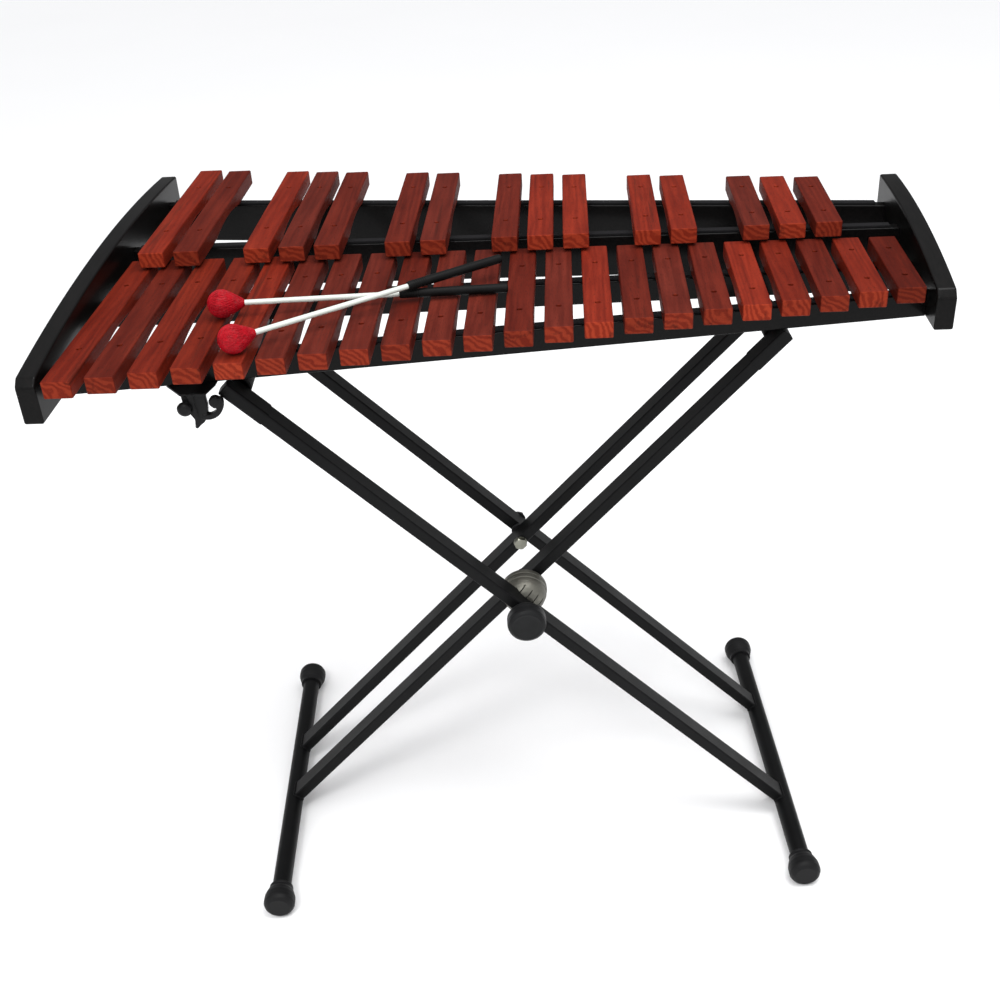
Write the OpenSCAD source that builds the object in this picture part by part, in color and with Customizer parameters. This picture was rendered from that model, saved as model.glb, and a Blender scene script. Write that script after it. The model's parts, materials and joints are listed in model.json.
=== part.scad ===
// Three-octave xylophone on a folding double-X stand.
// Origin: middle of the footprint on the floor. +X runs to the short bars,
// +Y to the sharp bars, +Z up.

/* [Bars] */
// Width of every bar
bar_width = 35; // [30:0.5:38]
// Distance between the middles of two neighbouring natural bars
bar_pitch = 48; // [44:0.5:52]
// Thickness of every bar
bar_thickness = 22; // [18:0.5:24]
// Height of the sharp bars' tops above the natural bars' tops
sharp_raise = 26; // [25:0.5:32]
// Share of a bar's length between its end and its support hole
node_share = 0.237; // [0.22:0.001:0.25]
// Diameter of the support holes in the bars
bar_hole = 7; // [6.5:0.5:8]
// Depth of the tuning arch under a bar, as a share of its length
arch_share = 0.02; // [0.01:0.002:0.024]

/* [Keyboard frame] */
// Width of the four rails
rail_width = 17; // [15:0.5:20]
// Height of the two rails under the natural bars
rail_height = 30.5; // [26:0.5:36]
// Thickness of the felt between rails and bars
felt_thickness = 3.5; // [2:0.5:5]
// Place of the natural bars' front rail, under the longest and the shortest bar
natural_front = [-74, 67.5]; // [-90:0.5:90]
// Place of the natural bars' back rail, under the longest and the shortest bar
natural_back = [124, 160]; // [100:0.5:180]
// Place of the sharp bars' front rail, at the same two places
sharp_front = [258.5, 238.5]; // [220:0.5:280]
// Place of the sharp bars' back rail, at the same two places
sharp_back = [451.5, 332]; // [310:0.5:470]
// Thickness of the end boards
board_thickness = 24; // [18:1:28]
// Front and back end of the left end board
left_board_y = [-160, 510]; // [-200:1:540]
// Front and back end of the right end board
right_board_y = [19, 370]; // [0:1:400]
// Gap between the end boards and their nearest bars, left and right
board_gap = [9, 12.5]; // [6:0.5:16]

/* [Stand] */
// Leg length from the pivot up to the top bar
leg_up = 489; // [460:1:520]
// Leg length from the pivot down to the foot bar
leg_down = 543; // [520:1:580]
// Angle of every leg from the vertical
leg_angle = 44.1; // [40:0.1:46]
// Leg tube across its narrow side
leg_thin = 16; // [14:0.5:20]
// Leg tube across its wide side
leg_wide = 30; // [28:0.5:30]
// Diameter of the round foot bars and top bars
tube_d = 27; // [25:0.5:30]
// Wall of all the tubes
tube_wall = 1.5; // [1.2:0.1:2]
// Length over both rubber caps of a foot bar
foot_length = 531; // [500:1:560]
// Turn of the stand under the keyboard, as it is clamped down
stand_turn = 3.9; // [0:0.1:5]

/* [Clutch] */
// Diameter of the clutch that locks the fold
clutch_d = 64; // [58:1:70]
// Diameter of the clutch knob
knob_d = 53; // [50:1:60]
// Diameter of both pivot bolts
bolt_d = 10; // [8:0.5:12]

/* [Mallets] */
// Diameter of a mallet's head
head_d = 36; // [30:1:40]
// Diameter of a mallet's shaft
shaft_d = 7; // [6:0.5:8]
// Diameter of a mallet's grip
grip_d = 12; // [10:0.5:13]

/* [Hidden] */
$fn = 48;
smooth = 360;             // facets round the large arcs of bars and boards
clear = 0.3;              // gap between pieces that move apart
fit = 0.05;               // radial clearance of everything that turns
over = 1;                 // how far a cut runs past the surface that it opens

// bars and rails, in the keyboard's own frame: x = 0 at the twelfth natural bar,
// y = 0 near the front rail, z = 0 at the natural bars' tops
naturals = 22;
middle_bar = 11;
first_x = -middle_bar * bar_pitch;
last_x = (naturals - 1 - middle_bar) * bar_pitch;
natural_rail_top = -bar_thickness - felt_thickness;
sharp_rail_top = natural_rail_top + sharp_raise;
rail_bottom = natural_rail_top - rail_height;
left_face = first_x - bar_width / 2 - board_gap[0];
right_face = last_x + bar_width / 2 + board_gap[1];
sharp_steps = [0, 1, 3, 4, 5];    // the bars of an octave that a sharp follows
letters = ["c", "d", "e", "f", "g", "a", "b"];
lowest_octave = 4;
per_octave = len(letters);

// names of the nodes that are made by a loop
bar_names = [for (i = [0:naturals - 1])
    str("bar_", letters[i % per_octave], lowest_octave + floor(i / per_octave))];
sharp_names = ["sharp_bars_low_octave", "sharp_bars_middle_octave", "sharp_bars_high_octave"];

// stand, in its own frame: x = y = 0 under the pivot, z = 0 on the floor
foot_axis = 21.8;         // height of the foot bars' middle
cap_r = 22.4;             // largest radius of a rubber cap
cap_face = 16;            // radius of a cap's flat end
cap_end = 4;              // rubber beyond the end of the tube
sleeve_wall = 2;
sleeve_r = tube_d / 2 + sleeve_wall;
pivot_z = foot_axis + leg_down * cos(leg_angle);
top_bar_z = pivot_z + leg_up * cos(leg_angle);
foot_x = leg_down * sin(leg_angle);
top_height = top_bar_z + sleeve_r + clear - rail_bottom;
stand_place = [-17, 66];  // the pivot, in the keyboard's frame
outer_front_y = -106.5;   // middles of the four legs
outer_back_y = 101.7;
inner_front_y = -41.5;
inner_back_y = 68.3;
leg_size = [leg_thin, leg_wide];
leg_corner = 2.5;
socket_wall = 1;          // a front leg's socket, over its top end
socket_length = 44;
socket_end = 15.2;        // its rounded end's radius about the top bar
socket_back = leg_wide / 2 + socket_wall;
outer_top_bar = [outer_front_y + socket_back, 400];
inner_top_bar = [inner_front_y + socket_back, 300];

// clutch, from the front leg's back face to the inner leg's front face
clutch_front = outer_front_y + leg_wide / 2;
clutch_back = inner_front_y - leg_wide / 2;
dome_length = 21.2;       // front disc behind the leg
dome_seat = 9;            // front disc on both sides of the leg
bolt_r = bolt_d / 2;
hex_r = 9.8;              // corner radius of bolt heads and nuts
head_length = 6.5;
knob_length = 32.7;
washer_wall = 7;

// pins, screws
pin_r = 2;
pin_sleeve_r = 3;
pin_depth = 14;           // how deep a pin sits in its rail
pin_below = 5;            // how far a pin ends below the bar's top
screw_r = 2.25;
screw_head_r = 4.5;
screw_length = 45;
screw_edge = 14;          // a screw's distance from its rail's top or bottom

// the footprint, for the origin
longest_sharp_x = first_x + bar_pitch / 2;
sharp_end_y = bar_end(sharp_front, sharp_back, longest_sharp_x);
foot_end_y = stand_place[1] - foot_x * sin(stand_turn) - foot_length / 2 * cos(stand_turn)
    - cap_face * sin(stand_turn);
middle = [(left_face + right_face) / 2, (sharp_end_y + foot_end_y) / 2];

// mallets: middle of the head and end of the grip, in the keyboard's frame
mallet_1 = [[-368.5, 5, 18.4], [-15.4, 53.2, 6.4]];
mallet_2 = [[-331.6, -101.5, 18.4], [-25.6, 105.8, 25.6]];
neck_length = 28.5;       // from the middle of the head to the end of its neck
neck_wall = 1.3;          // yarn round the shaft at the neck's end
grip_length = 137;

// ---- where things are ----

// y of a rail's middle line at x
function rail_y(rail, x) = rail[0] + (rail[1] - rail[0]) * (x - first_x) / (last_x - first_x);

// length of the bar that lies on two rails at x
function bar_length(front, back, x) =
    (rail_y(back, x) - rail_y(front, x)) / (1 - 2 * node_share);

// y of a bar's back end
function bar_end(front, back, x) =
    rail_y(back, x) + node_share * bar_length(front, back, x);

function natural_x(i) = first_x + i * bar_pitch;
function sharp_x(octave, step) = natural_x(octave * per_octave + sharp_steps[step] + 0.5);

module keyboard() {
    translate([-middle[0], -middle[1], top_height]) children();
}

module stand() {
    translate([stand_place[0] - middle[0], stand_place[1] - middle[1], 0])
        rotate([0, 0, stand_turn]) children();
}

// frame of one pair of legs: origin at the pivot, z up along the legs
module leg_frame(lean) {
    stand() translate([0, 0, pivot_z]) rotate([0, lean, 0]) children();
}

module outer() { leg_frame(-leg_angle) children(); }
module inner() { leg_frame(leg_angle) children(); }

// a child that stands along +z, laid along +y from y = from
module along_y(from) {
    translate([0, from, 0]) rotate([-90, 0, 0]) children();
}

// ---- bars ----

module bar(front, back, x, top) {
    long = bar_length(front, back, x);
    start = rail_y(front, x) - node_share * long;
    depth = arch_share * long;
    chord = 0.42 * long;
    arch_r = (chord * chord / 4 + depth * depth) / (2 * depth);
    difference() {
        translate([x - bar_width / 2, start, top - bar_thickness])
            cube([bar_width, long, bar_thickness]);
        translate([x - bar_width / 2 - over, start + long / 2,
                top - bar_thickness + depth - arch_r])
            rotate([0, 90, 0]) cylinder(r = arch_r, h = bar_width + 2 * over, $fn = smooth);
        for (rail = [front, back])
            translate([x, rail_y(rail, x), top - bar_thickness - over])
                cylinder(d = bar_hole, h = bar_thickness + 2 * over);
    }
}

module natural_bar(i) {
    color("firebrick") keyboard() bar(natural_front, natural_back, natural_x(i), 0);
}

module sharp_bars(octave) {
    color("brown") keyboard() for (step = [0:len(sharp_steps) - 1])
        bar(sharp_front, sharp_back, sharp_x(octave, step), sharp_raise);
}

// ---- keyboard frame ----

// places of the two rails of the naturals, or of the sharps, under each of their bars
module at_holes(front, back, sharp) {
    if (sharp) {
        for (octave = [0:2], step = [0:len(sharp_steps) - 1], rail = [front, back])
            translate([sharp_x(octave, step), rail_y(rail, sharp_x(octave, step))])
                children();
    } else {
        for (i = [0:naturals - 1], rail = [front, back])
            translate([natural_x(i), rail_y(rail, natural_x(i))]) children();
    }
}

// a straight strip on a rail's middle line
module strip(rail, width, from_x, to_x, bottom, top) {
    translate([0, 0, bottom]) linear_extrude(top - bottom) polygon([
        [from_x, rail_y(rail, from_x) - width / 2], [to_x, rail_y(rail, to_x) - width / 2],
        [to_x, rail_y(rail, to_x) + width / 2], [from_x, rail_y(rail, from_x) + width / 2]]);
}

// heights of the screws at a rail's ends
function screw_heights(top, sharp) =
    sharp ? [top - screw_edge, rail_bottom + screw_edge] : [(top + rail_bottom) / 2];

// wood screws through one end board, for one rail
module board_screws(rail, top, sharp, grow = 0) {
    for (z = screw_heights(top, sharp)) {
        translate([left_face - board_thickness, rail_y(rail, left_face), z])
            rotate([0, 90, 0]) screw(grow);
        translate([right_face + board_thickness, rail_y(rail, right_face), z])
            rotate([0, -90, 0]) screw(grow);
    }
}

module screw(grow) {
    cylinder(r1 = screw_head_r + grow, r2 = screw_r + grow, h = screw_head_r - screw_r);
    cylinder(r = screw_r + grow, h = screw_length);
}

module all_screws(grow = 0) {
    board_screws(natural_front, natural_rail_top, false, grow);
    board_screws(natural_back, natural_rail_top, false, grow);
    board_screws(sharp_front, sharp_rail_top, true, grow);
    board_screws(sharp_back, sharp_rail_top, true, grow);
}

module rail(line, top, sharp) {
    color("black") keyboard() difference() {
        strip(line, rail_width, left_face, right_face, rail_bottom, top);
        at_holes(line, line, sharp)
            translate([0, 0, top - pin_depth - fit])
                cylinder(r = pin_r + fit, h = pin_depth + over);
        board_screws(line, top, sharp, fit);
    }
}

module natural_front_rail() { rail(natural_front, natural_rail_top, false); }
module natural_back_rail() { rail(natural_back, natural_rail_top, false); }
module sharp_front_rail() { rail(sharp_front, sharp_rail_top, true); }
module sharp_back_rail() { rail(sharp_back, sharp_rail_top, true); }

// an end board with a bowed top: crown is the y and z of its highest point,
// shoulder the height of its front top corner
module end_board(x, ends, crown, shoulder) {
    run = crown[0] - ends[0];
    rise = crown[1] - shoulder;
    bow_r = (run * run + rise * rise) / (2 * rise);
    bevel = 8;
    color("black") keyboard() difference() {
        intersection() {
            translate([x, ends[0], rail_bottom])
                cube([board_thickness, ends[1] - ends[0], crown[1] - rail_bottom + over]);
            translate([x, crown[0], crown[1] - bow_r])
                rotate([0, 90, 0]) cylinder(r = bow_r, h = board_thickness, $fn = 2 * smooth);
        }
        translate([x - over, ends[0], shoulder - bevel]) rotate([45, 0, 0])
            translate([0, -bevel, 0]) cube([board_thickness + 2 * over, 3 * bevel, 3 * bevel]);
        all_screws(fit);
    }
}

module left_end_board() {
    end_board(left_face - board_thickness, left_board_y, [290, 34.5], 0);
}

module right_end_board() {
    end_board(right_face, right_board_y, [330, 31], -6);
}

module felt_strips() {
    felt_width = rail_width - 5;
    from_x = first_x - bar_width / 2;
    to_x = last_x + bar_width / 2;
    color("gray") keyboard() difference() {
        union() {
            for (line = [natural_front, natural_back])
                strip(line, felt_width, from_x, to_x, natural_rail_top, -bar_thickness);
            for (line = [sharp_front, sharp_back])
                strip(line, felt_width, from_x, to_x, sharp_rail_top,
                    sharp_rail_top + felt_thickness);
        }
        at_holes(natural_front, natural_back, false)
            translate([0, 0, natural_rail_top - over])
                cylinder(r = pin_sleeve_r + fit, h = felt_thickness + 2 * over);
        at_holes(sharp_front, sharp_back, true)
            translate([0, 0, sharp_rail_top - over])
                cylinder(r = pin_sleeve_r + fit, h = felt_thickness + 2 * over);
    }
}

// a steel pin in a rubber sleeve
module pin(rail_top) {
    bar_top = rail_top + felt_thickness + bar_thickness;
    translate([0, 0, rail_top - pin_depth])
        cylinder(r = pin_r, h = bar_top - pin_below - rail_top + pin_depth);
    translate([0, 0, rail_top])
        cylinder(r = pin_sleeve_r, h = bar_top - 2 * pin_below - rail_top);
}

module bar_pins() {
    color("dimgray") keyboard() {
        at_holes(natural_front, natural_back, false) pin(natural_rail_top);
        at_holes(sharp_front, sharp_back, true) pin(sharp_rail_top);
    }
}

module frame_screws() {
    color("silver") keyboard() all_screws();
}

// ---- clamp under the front rail ----

clamp_y = [-93, -81.8];           // front and back face of the clamp
clamp_hub = [-407.7, -75];        // x and z of its knob
clamp_boss = 7;                   // radius of the boss behind the knob
hook_middle = [-383, -70.5];      // x and z of the middle of the hook's curve
hook_r = [15.2, 22.5];            // inside and outside of the hook
hook_from = -105;
hook_to = 20;
bulb_r = 7.8;                     // round end of the hook
bulb_place = [12.4, 6];           // its distance and angle from the hook's middle

// a point at a distance and an angle from a middle point
function around(middle_point, r, angle) =
    [middle_point[0] + r * cos(angle), middle_point[1] + r * sin(angle)];

// side view of the clamp, in x and z: an ear that narrows to a spike, and the hook
module clamp_outline() {
    hook_step = 5;
    polygon([[-412, rail_bottom], [-411, -68], [-409, -77], [-403, -86.5],
        [-399.5, -92.5], [-400.5, -98.5], [-401, -104], [-400, -106], [-398.3, -105.9],
        [-396.5, -103.4], [-393.3, -100.6], [-390, -98], around(hook_middle, hook_r[1], -100),
        around(hook_middle, hook_r[0], -95), [-381.3, -80], [-380.6, -74], [-381.2, -67],
        [-381.6, -62], [-379.5, rail_bottom]]);
    translate(clamp_hub) circle(r = clamp_boss);
    polygon(concat(
        [for (a = [hook_from:hook_step:hook_to]) around(hook_middle, hook_r[1], a)],
        [for (a = [hook_to:-hook_step:hook_from]) around(hook_middle, hook_r[0], a)]));
    translate(around(hook_middle, bulb_place[0], bulb_place[1])) circle(r = bulb_r);
}

module clamp_bracket() {
    plate = 4;
    foot_y = [-64.5, -48];            // where the plate is widest, under the rail
    foot_x = [-435.5, -373];
    color("#161618") keyboard() difference() {
        union() {
            translate([0, clamp_y[1], 0]) rotate([90, 0, 0])
                linear_extrude(clamp_y[1] - clamp_y[0]) clamp_outline();
            translate([0, 0, rail_bottom - plate]) linear_extrude(plate) polygon([
                [-412, clamp_y[0]], [-380, clamp_y[0]], [foot_x[1], foot_y[0]],
                [foot_x[1], foot_y[1]], [foot_x[0], foot_y[1]], [foot_x[0], foot_y[0]]]);
        }
        translate([clamp_hub[0], clamp_y[0] - over, clamp_hub[1]])
            rotate([-90, 0, 0]) cylinder(r = 3 + fit, h = 9);
    }
}

module clamp_knob() {
    reach = 7;
    color("#232325") keyboard() translate([clamp_hub[0], clamp_y[0], clamp_hub[1]])
        rotate([90, 0, 0]) {
            rotate_extrude() polygon([[0, clear], [9.1, clear], [9.5, 2.5], [8.9, 5], [6.4, 7],
                [0, 7.6]]);
            translate([0, 0, -reach]) cylinder(r = 3, h = reach + over);
        }
}

// ---- stand ----

module rounded_rectangle(size, r) {
    square([size[0] - 2 * r, size[1]], center = true);
    square([size[0], size[1] - 2 * r], center = true);
    for (sx = [-1, 1], sy = [-1, 1])
        translate([sx * (size[0] / 2 - r), sy * (size[1] / 2 - r)]) circle(r = r);
}

// a leg tube, coped onto its foot bar and drilled for its pivot bolt
module leg(y, socket) {
    hollow = leg_down + leg_up + over;
    difference() {
        union() {
            translate([0, y, -leg_down]) linear_extrude(leg_down + leg_up)
                rounded_rectangle(leg_size, leg_corner);
            if (socket) leg_socket(y);
        }
        translate([0, y, -leg_down - over]) linear_extrude(hollow)
            rounded_rectangle(leg_size - 2 * tube_wall * [1, 1], leg_corner - tube_wall);
        translate([0, 0, -leg_down]) along_y(y - leg_wide)
            cylinder(d = tube_d, h = 2 * leg_wide);
        along_y(y - leg_wide) cylinder(r = bolt_r + fit, h = 2 * leg_wide);
    }
}

// the closed end of a front leg, rounded so that it turns under the rails
module leg_socket(y) {
    size = leg_size + 2 * socket_wall * [1, 1];
    intersection() {
        translate([0, y, leg_up - socket_length]) linear_extrude(socket_length + tube_d)
            rounded_rectangle(size, leg_corner + socket_wall);
        union() {
            translate([0, 0, leg_up]) along_y(y - leg_wide)
                cylinder(r = socket_end, h = 2 * leg_wide);
            translate([-leg_wide, y - leg_wide, leg_up - socket_length])
                cube([2 * leg_wide, 2 * leg_wide, socket_length]);
        }
    }
}

// a back leg is coped onto its top bar too
module back_leg(y) {
    difference() {
        leg(y, false);
        translate([0, 0, leg_up]) along_y(y - leg_wide) cylinder(d = tube_d, h = 2 * leg_wide);
    }
}

module tube(from, to, z) {
    translate([0, 0, z]) along_y(from) difference() {
        cylinder(d = tube_d, h = to - from);
        translate([0, 0, -over])
            cylinder(r = tube_d / 2 - tube_wall, h = to - from + 2 * over);
    }
}

module outer_front_leg() { color("#1c1c1e") outer() leg(outer_front_y, true); }
module outer_back_leg() { color("#1c1c1e") outer() back_leg(outer_back_y); }
module inner_front_leg() { color("#26262a") inner() leg(inner_front_y, true); }
module inner_back_leg() { color("#26262a") inner() back_leg(inner_back_y); }

module outer_top_bar() {
    color("#303034") outer() tube(outer_top_bar[0], outer_top_bar[1], leg_up);
}

module inner_top_bar() {
    color("#303034") inner() tube(inner_top_bar[0], inner_top_bar[1], leg_up);
}

module foot_bar() {
    reach = foot_length / 2 - cap_end;
    tube(-reach, reach, -leg_down);
}

module outer_foot_bar() { color("#303034") outer() foot_bar(); }
module inner_foot_bar() { color("#303034") inner() foot_bar(); }

// a bell-shaped rubber cap, its face at z = 0
module cap() {
    bore = tube_d / 2 + fit;
    rotate_extrude() polygon([[0, 0], [cap_face, 0], [20, 2], [22, 6], [cap_r, 12], [22, 20],
        [20, 26], [17, 32], [16.5, 38], [bore, 38], [bore, cap_end], [0, cap_end]]);
}

// the two caps of one foot bar, flattened where they stand on the floor
module foot_caps(x) {
    color("#101012") stand() difference() {
        for (end = [0, 1]) mirror([0, end, 0])
            translate([x, 0, foot_axis]) along_y(-foot_length / 2) cap();
        translate([x, 0, -foot_length / 2])
            cube([foot_length, 2 * foot_length, foot_length], center = true);
    }
}

module outer_foot_caps() { foot_caps(foot_x); }
module inner_foot_caps() { foot_caps(-foot_x); }

// rubber sleeves on a top bar, between and behind its legs
module sleeve(spans, bore) {
    for (span = spans)
        translate([0, 0, leg_up]) along_y(span[0]) difference() {
            cylinder(r = sleeve_r, h = span[1] - span[0]);
            translate([0, 0, -over]) cylinder(r = bore, h = span[1] - span[0] + 2 * over);
        }
}

module outer_bar_sleeve() {
    half = leg_wide / 2 + clear;
    color("#3c3c40") outer() sleeve([[outer_top_bar[0] + clear, outer_back_y - half],
        [outer_back_y + half, outer_top_bar[1] - over]], tube_d / 2 + fit);
}

module inner_bar_sleeve() {
    half = leg_wide / 2;
    color("#3c3c40") inner() sleeve([[inner_top_bar[0], inner_back_y - half],
        [inner_back_y + half, inner_top_bar[1] - over]], tube_d / 2);
}

// ---- pivots ----

// the dome that the leg is seated in, grooved across the leg
module clutch_front_disc() {
    r = clutch_d / 2 - 1;
    long = dome_seat + dome_length;
    groove_width = 2;
    groove_pitch = 11.4;
    groove_depth = [10, 5.5, 5.5, 10];
    color("#77766f") outer() difference() {
        along_y(clutch_front - dome_seat) difference() {
            rotate_extrude() polygon([[bolt_r + fit, 0], [12, 0], [18, 2.5], [23, 6.5], [27, 12],
                [29.4, 17.5], [30.2, 22], [r, 22.6], [r, long], [bolt_r + fit, long]]);
            for (i = [0:3]) translate([0, (i - 1.5) * groove_pitch, 0])
                cube([2 * r, groove_width, 2 * groove_depth[i]], center = true);
        }
        translate([-leg_thin / 2, clutch_front - leg_wide, -clutch_d])
            cube([leg_thin, leg_wide, 2 * clutch_d]);
    }
}

module clutch_rear_disc() {
    r = clutch_d / 2;
    long = clutch_back - clutch_front - dome_length - clear;
    color("#68675f") inner() along_y(clutch_back - long) rotate_extrude()
        polygon([[bolt_r + fit, 0], [r, 0], [r, 7], [r - 5, long], [bolt_r + fit, long]]);
}

module hex(h) { cylinder(r = hex_r, h = h, $fn = 6); }

module clutch_bolt() {
    leg_back = inner_front_y + leg_wide / 2 + clear;
    front = outer_front_y - leg_wide / 2 - 20;
    low_head = [8, 2];        // radius and length
    color("silver") outer() {
        along_y(front) cylinder(r = bolt_r, h = leg_back - front + over);
        along_y(leg_back) cylinder(r = low_head[0], h = low_head[1]);
    }
}

module clutch_knob() {
    r = knob_d / 2;
    back = outer_front_y - leg_wide / 2 - clear;
    bore_depth = 10;          // where the bolt's bore ends behind the knob's face
    color("#19191b") outer() along_y(back - knob_length) difference() {
        rotate_extrude() polygon([[0, 0], [r - 6.5, 0.6], [r - 2.5, 2], [r - 0.6, 4.6], [r, 8],
            [r, 20], [r - 1.5, 24], [r - 9, 25], [r - 13, 27], [r - 14, knob_length],
            [0, knob_length]]);
        translate([0, 0, bore_depth]) cylinder(r = bolt_r + fit, h = knob_length);
    }
}

rear_gap = [inner_back_y + leg_wide / 2 + clear, outer_back_y - leg_wide / 2];

module rear_pivot_bolt() {
    head_back = inner_back_y - leg_wide / 2 - clear;
    tail = outer_back_y + leg_wide / 2 + 12;
    color("silver") outer() {
        along_y(head_back - head_length) hex(head_length);
        along_y(head_back - over) cylinder(r = bolt_r, h = tail - head_back + over);
    }
}

module rear_pivot_nut() {
    color("silver") outer() {
        along_y(rear_gap[0]) difference() {
            cylinder(r = bolt_r + washer_wall, h = rear_gap[1] - rear_gap[0]);
            translate([0, 0, -over]) cylinder(r = bolt_r + fit, h = 10);
        }
        along_y(outer_back_y + leg_wide / 2) difference() {
            hex(8);
            translate([0, 0, -over]) cylinder(r = bolt_r + fit, h = 12);
        }
    }
}

// ---- mallets ----

// a mallet's own frame: origin in the middle of the head, z towards the grip
module mallet(ends) {
    run = ends[1] - ends[0];
    keyboard() translate(ends[0])
        rotate([0, acos(run[2] / norm(run)), atan2(run[1], run[0])]) children();
}

// a ball whose neck is a cone that touches it all round
module mallet_head(ends) {
    neck_r = shaft_d / 2 + neck_wall;
    ball_r = head_d / 2;
    touch = atan2(neck_r, neck_length) + acos(ball_r / norm([neck_r, neck_length]));
    color("crimson") mallet(ends) difference() {
        union() {
            sphere(d = head_d);
            translate([0, 0, ball_r * cos(touch)]) cylinder(r1 = ball_r * sin(touch),
                r2 = neck_r, h = neck_length - ball_r * cos(touch));
        }
        translate([0, 0, -head_d / 4]) cylinder(d = shaft_d, h = head_d + neck_length);
    }
}

module mallet_shaft(ends) {
    color("white") mallet(ends) translate([0, 0, -head_d / 4])
        cylinder(d = shaft_d, h = norm(ends[1] - ends[0]) + head_d / 4 - 2);
}

module mallet_grip(ends) {
    long = norm(ends[1] - ends[0]);
    color("#151515") mallet(ends) difference() {
        translate([0, 0, long - grip_length]) cylinder(d = grip_d, h = grip_length);
        translate([0, 0, long - grip_length - over])
            cylinder(d = shaft_d, h = grip_length + over - 2);
    }
}

module mallet_1_head() { mallet_head(mallet_1); }
module mallet_1_shaft() { mallet_shaft(mallet_1); }
module mallet_1_grip() { mallet_grip(mallet_1); }
module mallet_2_head() { mallet_head(mallet_2); }
module mallet_2_shaft() { mallet_shaft(mallet_2); }
module mallet_2_grip() { mallet_grip(mallet_2); }

// ---- the nodes ----

for (i = [0:naturals - 1]) natural_bar(i);
for (i = [0:2]) sharp_bars(i);
left_end_board();
right_end_board();
natural_front_rail();
natural_back_rail();
sharp_front_rail();
sharp_back_rail();
felt_strips();
bar_pins();
frame_screws();
clamp_bracket();
clamp_knob();
outer_front_leg();
outer_back_leg();
outer_top_bar();
outer_foot_bar();
outer_foot_caps();
inner_front_leg();
inner_back_leg();
inner_top_bar();
inner_foot_bar();
inner_foot_caps();
outer_bar_sleeve();
inner_bar_sleeve();
clutch_front_disc();
clutch_rear_disc();
clutch_bolt();
clutch_knob();
rear_pivot_bolt();
rear_pivot_nut();
mallet_1_head();
mallet_1_shaft();
mallet_1_grip();
mallet_2_head();
mallet_2_shaft();
mallet_2_grip();
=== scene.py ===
import json
import math
import random

import bmesh
import bpy
from mathutils import Matrix, Vector


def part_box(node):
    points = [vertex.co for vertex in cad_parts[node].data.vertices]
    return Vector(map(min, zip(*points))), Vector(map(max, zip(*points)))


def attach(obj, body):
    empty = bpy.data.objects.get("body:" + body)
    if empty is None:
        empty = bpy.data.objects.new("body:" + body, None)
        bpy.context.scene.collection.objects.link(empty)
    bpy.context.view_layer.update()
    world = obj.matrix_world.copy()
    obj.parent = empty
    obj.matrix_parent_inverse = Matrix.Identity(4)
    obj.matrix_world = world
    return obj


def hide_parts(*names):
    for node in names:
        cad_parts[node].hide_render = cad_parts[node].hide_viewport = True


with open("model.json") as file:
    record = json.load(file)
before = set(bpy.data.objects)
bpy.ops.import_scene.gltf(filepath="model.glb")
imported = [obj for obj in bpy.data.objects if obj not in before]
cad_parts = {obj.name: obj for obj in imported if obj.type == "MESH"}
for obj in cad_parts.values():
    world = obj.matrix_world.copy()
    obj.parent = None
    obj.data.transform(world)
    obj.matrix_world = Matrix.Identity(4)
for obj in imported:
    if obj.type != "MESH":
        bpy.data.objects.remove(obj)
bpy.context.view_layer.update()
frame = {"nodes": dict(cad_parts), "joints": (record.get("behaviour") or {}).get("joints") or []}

MM = 0.001
ON_AXIS = 1e-7            # metres: a lathe's point this near its axis is on it
SAME_POINT = 1e-6         # metres: vertices this near each other are one
nodes = frame["nodes"]
joints = {joint["name"]: joint for joint in frame["joints"]}

# ---- outlines ----


def arc(middle, radius, start, end, steps):
    """Points on an arc, angles in degrees."""
    turn = [math.radians(start + (end - start) * k / steps) for k in range(steps + 1)]
    return [(middle[0] + radius * math.cos(a), middle[1] + radius * math.sin(a)) for a in turn]


def fillet(corners, closed=True, steps=5):
    """An outline with rounded corners; a corner is (x, y) or (x, y, radius)."""
    points = []
    count = len(corners)
    for i, corner in enumerate(corners):
        here = Vector(corner[:2])
        radius = corner[2] if len(corner) > 2 else 0
        if radius == 0 or (not closed and i in (0, count - 1)):
            points.append(tuple(here))
            continue
        before = Vector(corners[i - 1][:2]) - here
        after = Vector(corners[(i + 1) % count][:2]) - here
        half = before.angle(after) / 2
        reach = min(radius / math.tan(half), 0.49 * before.length, 0.49 * after.length)
        radius = reach * math.tan(half)
        start = here + before.normalized() * reach
        end = here + after.normalized() * reach
        middle = here + (before.normalized() + after.normalized()).normalized() * (
            radius / math.sin(half))
        for k in range(steps + 1):
            toward = (start - middle).lerp(end - middle, k / steps)
            points.append(tuple(middle + toward.normalized() * radius))
    return points


def inset(outline, amount):
    """A counter-clockwise outline moved inwards by a small amount."""
    moved = []
    count = len(outline)
    for i, point in enumerate(outline):
        back = (Vector(point) - Vector(outline[i - 1])).normalized()
        ahead = (Vector(outline[(i + 1) % count]) - Vector(point)).normalized()
        normal = Vector((-(back + ahead).y, (back + ahead).x)).normalized()
        lean = max(0.5, normal.dot(Vector((-back.y, back.x))))
        moved.append(tuple(Vector(point) + normal * (amount / lean)))
    return moved


def rounded_rectangle(half_width, low, high, radius, steps=3):
    corners = ((half_width - radius, high - radius, 0),
               (radius - half_width, high - radius, 90),
               (radius - half_width, low + radius, 180),
               (half_width - radius, low + radius, 270))
    points = []
    for x, z, start in corners:
        points += arc((x, z), radius, start, start + 90, steps)
    return points


def metres(points):
    """Pairs of millimetres in metres."""
    return [(a * MM, b * MM) for a, b in points]


def turned_profile(corners, steps=3, ring=False):
    """A lathe profile from millimetres; a ring's profile comes back to its start."""
    points = metres(fillet(corners, ring, steps))
    return points + points[:1] if ring else points


# ---- meshes ----


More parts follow.
